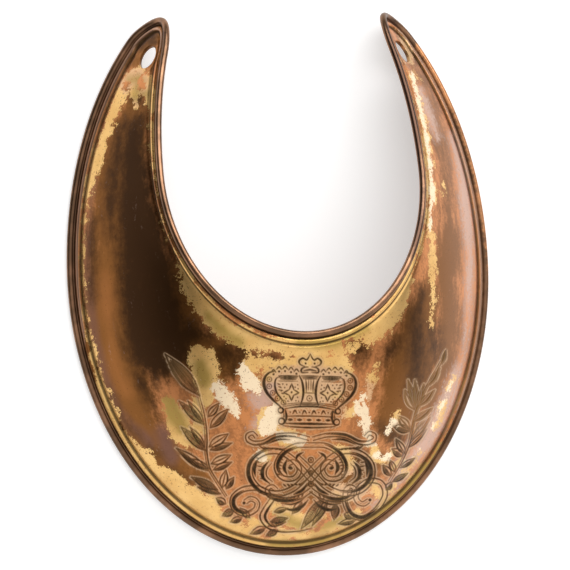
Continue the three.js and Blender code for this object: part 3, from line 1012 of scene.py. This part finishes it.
class Finish:
    def __init__(self, holder):
        self.holder = holder
        self.holder.use_nodes = True
        self.tree = self.holder.node_tree
        self.tree.nodes.clear()

    def add(self, kind, settings=None, values=None, output=0):
        node = self.tree.nodes.new(kind)
        for key, value in (settings or {}).items():
            setattr(node, key, value)
        for key, value in (values or {}).items():
            if isinstance(value, Value):
                self.tree.links.new(value.socket, node.inputs[key])
            elif value is not None:
                node.inputs[key].default_value = value
        if not node.outputs:
            return None
        return Value(self, node.outputs[output])

    def attribute(self, name):
        return self.add("ShaderNodeAttribute", {"attribute_name": name}, output="Fac")

    # unevenness about nought, of a size in millimetres
    def noise(self, size, detail=3.0, roughness=0.55, stretch=(1, 1, 1), shift=0.0):
        place = self.add("ShaderNodeTexCoord", output="Object")
        place = self.add("ShaderNodeMapping", {},
                         {"Vector": place, "Scale": stretch, "Location": (shift,) * 3})
        cloud = self.add("ShaderNodeTexNoise", {}, {
            "Vector": place, "Scale": 1 / (size * mm), "Detail": detail, "Roughness": roughness})
        return cloud - 0.5

    def step(self, value, low, high):
        return self.add("ShaderNodeMapRange", {"interpolation_type": "SMOOTHSTEP"},
                        {"Value": value, "From Min": low, "From Max": high})

    def mix(self, share, a, b, blend="MIX"):
        node = self.tree.nodes.new("ShaderNodeMix")
        node.data_type = "RGBA"
        node.blend_type = blend
        for socket, value in ((node.inputs[0], share), (node.inputs[6], a), (node.inputs[7], b)):
            if isinstance(value, Value):
                self.tree.links.new(value.socket, socket)
            elif isinstance(value, (int, float)):
                socket.default_value = value
            else:
                socket.default_value = (*value, 1)
        return Value(self, node.outputs[2])


giltCopper = {
    "gold": (0.86, 0.55, 0.21),
    "goldCreamHighlight": (0.96, 0.77, 0.53),
    "goldDeep": (0.74, 0.44, 0.15),
    "goldOlive": (0.38, 0.25, 0.06),
    "goldRose": (0.72, 0.43, 0.25),
    "copper": (0.61, 0.245, 0.09),
    "copperBrown": (0.40, 0.16, 0.06),
    "copperDarkAndShaded": (0.23, 0.09, 0.022),
    "bloom": (0.18, 0.088, 0.066),
    "glow": (0.45, 0.17, 0.05),
    "patina": (0.05, 0.021, 0.007),
    "haze": (0.62, 0.42, 0.34),
    "burrAndHighlight": (0.92, 0.66, 0.42),
    "grimeAndShade": (0.26, 0.14, 0.06),
    "residue": (0.04, 0.024, 0.012),
    "residueDry": (0.10, 0.062, 0.03),
    "brightCut": (0.34, 0.22, 0.09),
    "crest": (0.52, 0.31, 0.21),
    "roll": (0.15, 0.085, 0.05),
    "rollWorn": (0.33, 0.175, 0.10),
    "rollRubbedAndHighlit": (0.66, 0.30, 0.13),
    "rollShadeTone": (0.085, 0.048, 0.034),
    "back": (0.40, 0.20, 0.09),
    "backStain": (0.10, 0.05, 0.028),
}


def giltCopperFinish():
    f = Finish(bpy.data.materials.new("giltCopper"))
    tone = giltCopper
    gilding, patina, tarnish = f.attribute("gilding"), f.attribute("patina"), f.attribute("tarnish")
    cream, haze, cut = f.attribute("cream"), f.attribute("haze"), f.attribute("cut")
    rimward, back = f.attribute("rimward"), f.attribute("back")

    broad = f.noise(9, 3)
    middle = f.noise(2.6, 4, 0.6)
    fine = f.noise(0.75, 4, 0.65)
    grain = f.noise(0.32, 3, 0.6)
    streaks = f.noise(2.2, 4, 0.6, stretch=(1, 0.3, 1), shift=0.4)
    ragged = broad * 1.6 + middle * 2.6 + fine * 2.2 + grain * 1.2

    # bare copper, from bright through red-brown and violet to the darkest brown, with painted reflections
    # mixed in: dark ones on the left flank, warm ones near its edge and a pale sheen down the right flank
    copper = f.mix(f.step(streaks + fine * 0.6, -0.12, 0.16), tone["copper"], tone["copperBrown"])
    # red-brown to dark, partly tarnish and partly a painted dark reflection on the left flank
    brown = f.step(tarnish + streaks * 0.9 + fine * 0.6 + broad * 0.7, 0.15, 0.9)
    copper = f.mix(brown, copper, tone["copperDarkAndShaded"])
    violet = f.step(f.attribute("bloom") + broad * 0.5, 0.15, 1.0)
    copper = f.mix(violet * 0.8, copper, tone["bloom"])
    # darkest brown, partly patina and partly a painted dark reflection on the left flank
    dark = f.step(patina + middle * 0.5 + streaks * 0.4 + fine * 0.25, 0.2, 0.95)
    copper = f.mix(dark, copper, tone["patina"])
    # warm copper, partly a painted reflection on the left flank
    warm = f.step(f.attribute("glow") + broad * 0.5, 0.15, 1.0)
    copper = f.mix(warm * 0.5, copper, tone["glow"])
    # pale lavender, partly the copper's own tone and partly a painted reflection down the right flank
    pale = f.step(haze + streaks * 1.2 + fine * 1.2, 0.2, 0.95)
    copper = f.mix(pale * 0.8, copper, tone["haze"])
    specks = f.step(f.noise(0.55, 4, 0.7, shift=7.7), 0.12, 0.18)
    copper = f.mix(specks * 0.6, copper, tone["patina"])

    gold = f.mix(f.step(f.noise(7, 4, 0.6, shift=2.9), -0.15, 0.2), tone["gold"], tone["goldDeep"])
    rosy = f.step(f.attribute("rose") + middle * 1.1 + fine * 0.9, 0.2, 0.9)
    gold = f.mix(rosy * 0.85, gold, tone["goldRose"])
    oliveShare = f.step(f.attribute("olive") + broad * 0.5 + middle * 0.4, 0.1, 0.95)
    gold = f.mix(oliveShare * 0.85, gold, tone["goldOlive"])
    # pale cream gold, partly painted highlight
    creamHighlightShare = f.step(cream + middle * 1.2 + fine * 1.4, 0.3, 0.6)
    gold = f.mix(creamHighlightShare, gold, tone["goldCreamHighlight"])

    gilt = f.step(gilding + ragged, -0.04, 0.05) * f.step(rimward, 1.0, 1.5)
    pits = f.step(fine * 0.6 + grain * 0.4, 0.065, 0.125)
    gilt = gilt * (1 - pits * 0.85)
    colour = f.mix(gilt, copper, gold)

    # the border: a rubbed crest between two dark grooves, and the roll
    crest = f.step(rimward, 1.75, 2.05) * (1 - f.step(rimward, 2.75, 3.0)) * (1 - back)
    rubbedCrest = crest * f.step(f.attribute("crest") + fine + broad * 1.2, 0.3, 0.6)
    colour = f.mix(rubbedCrest * 0.9, colour, tone["crest"])
    groove = f.step(rimward, 0.7, 0.95) * (1 - f.step(rimward, 1.55, 1.95))
    line = f.step(rimward, 2.85, 3.15) * (1 - f.step(rimward, 3.5, 3.85))
    lodged = (groove * 0.97).atLeast(line * 0.85) * (0.95 + middle * 0.6)
    lodged = lodged.atLeast(cut * (0.975 + fine * 0.35)).atMost(1.0)
    filling = f.mix(f.step(middle + broad * 0.6, -0.08, 0.12) * 0.8, tone["residue"], tone["residueDry"])
    filling = f.mix(f.attribute("brightCut") * 0.85, filling, tone["brightCut"])
    # brown dirt round the cuts, partly painted warm shade
    colour = f.mix(f.attribute("grimeAndShade") * (0.38 + middle * 0.8), colour, tone["grimeAndShade"])
    # painted highlight on the burrs beside the cuts
    colour = f.mix(f.attribute("burrAndHighlight") * 0.4, colour, tone["burrAndHighlight"])
    colour = f.mix(lodged, colour, filling)
    roll = 1 - f.step(rimward, 0.8, 1.1)
    rollTone = f.mix(f.step(broad + middle * 0.4, -0.14, 0.24), tone["roll"], tone["rollWorn"])
    # bright copper on the roll, partly wear and partly painted highlight
    rubbedRoll = f.step(f.attribute("rubbedRoll") + fine * 0.8 + middle * 0.8, 0.3, 0.85)
    rollTone = f.mix(rubbedRoll * 0.9, rollTone, tone["rollRubbedAndHighlit"])
    # painted shade on the roll
    darkRoll = f.step(f.attribute("darkRoll") + fine * 0.6, 0.25, 0.8)
    rollTone = f.mix(darkRoll * 0.9, rollTone, tone["rollShadeTone"])
    colour = f.mix(roll * (1 - back), colour, rollTone)

    backTone = f.mix(f.step(f.noise(9, 5, 0.65, shift=5.1), -0.16, 0.24), tone["back"], tone["backStain"])
    colour = f.mix(back, colour, backTone)

    smudge = f.noise(12, 4, 0.6, shift=3.3)
    roughness = 0.305 + smudge * 0.12 + dark * 0.06 + lodged * 0.35 + back * 0.16 + grain * 0.05
    scratches = f.noise(0.5, 2, 0.5, stretch=(0.12, 1, 1), shift=0.9)
    bumpHeight = fine * 0.5 + grain * 0.3 + scratches * 0.4 + gilt * 0.12 + middle * 0.4
    bump = f.add("ShaderNodeBump", {}, {"Strength": 0.25, "Distance": 0.00005, "Height": bumpHeight})
    shader = f.add("ShaderNodeBsdfPrincipled", {}, {"Base Color": colour, "Metallic": 1.0,
                                                    "Roughness": roughness, "Normal": bump})
    f.add("ShaderNodeOutputMaterial", {}, {"Surface": shader})
    return f.holder


plateMesh.materials.clear()
plateMesh.materials.append(giltCopperFinish())
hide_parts("gorget_plate")
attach(plateObject, "root")
print("gorget: plate finished")

# Floor and light
studio = {
    "floorRadius": 4.0,
    "floorTone": (0.70, 0.70, 0.705),
    "floorGlow": 0.43,  # keeps the shadows on the floor light, as on a light table
    # a broad soft panel in front of the plate and over it, which the gilding mirrors, and
    # dark surroundings on the other side
    "panelTowards": (0.15, -0.8, 0.75),
    "panelEdge": (0.2, 0.75),
    "panelTone": (1.02, 1.0, 0.97),
    "surround": (0.055, 0.05, 0.045),
    "lights": [
        {"name": "behind", "place": (0.35, 1.1, 1.0), "size": (1.8, 0.8), "power": 22.0},
        {"name": "right", "place": (1.2, 0.45, 0.8), "size": (0.7, 0.7), "power": 2.0},
    ],
}


def makeFloor():
    bm = bmesh.new()
    bmesh.ops.create_circle(bm, cap_ends=True, segments=96, radius=studio["floorRadius"])
    mesh = bpy.data.meshes.new("floor")
    bm.to_mesh(mesh)
    bm.free()
    floor = bpy.data.objects.new("floor", mesh)
    bpy.context.scene.collection.objects.link(floor)
    f = Finish(bpy.data.materials.new("floorPaper"))
    shader = f.add("ShaderNodeBsdfPrincipled", {}, {
        "Base Color": (*studio["floorTone"], 1), "Roughness": 0.8,
        "Emission Color": (1, 1, 1, 1), "Emission Strength": studio["floorGlow"]})
    f.add("ShaderNodeOutputMaterial", {}, {"Surface": shader})
    mesh.materials.append(f.holder)


def makeLights():
    for row in studio["lights"]:
        data = bpy.data.lights.new(row["name"], "AREA")
        data.shape = "RECTANGLE"
        data.size, data.size_y = row["size"]
        data.energy = row["power"]
        lamp = bpy.data.objects.new(row["name"], data)
        lamp.location = row["place"]
        lamp.rotation_mode = "QUATERNION"
        lamp.rotation_quaternion = Vector(row["place"]).to_track_quat("Z", "Y")
        bpy.context.scene.collection.objects.link(lamp)


def lightSurroundings():
    f = Finish(bpy.data.worlds.new("studio"))
    direction = f.add("ShaderNodeTexCoord", output="Generated")
    towards = f.add("ShaderNodeVectorMath", {"operation": "DOT_PRODUCT"},
                    {0: direction, 1: studio["panelTowards"]}, output="Value")
    tone = f.mix(f.step(towards, *studio["panelEdge"]), studio["surround"], studio["panelTone"])
    background = f.add("ShaderNodeBackground", {}, {"Color": tone})
    f.add("ShaderNodeOutputWorld", {}, {"Surface": background})
    bpy.context.scene.world = f.holder


makeFloor()
makeLights()
lightSurroundings()
bpy.context.scene.view_settings.view_transform = "Standard"
print("gorget: studio ready")
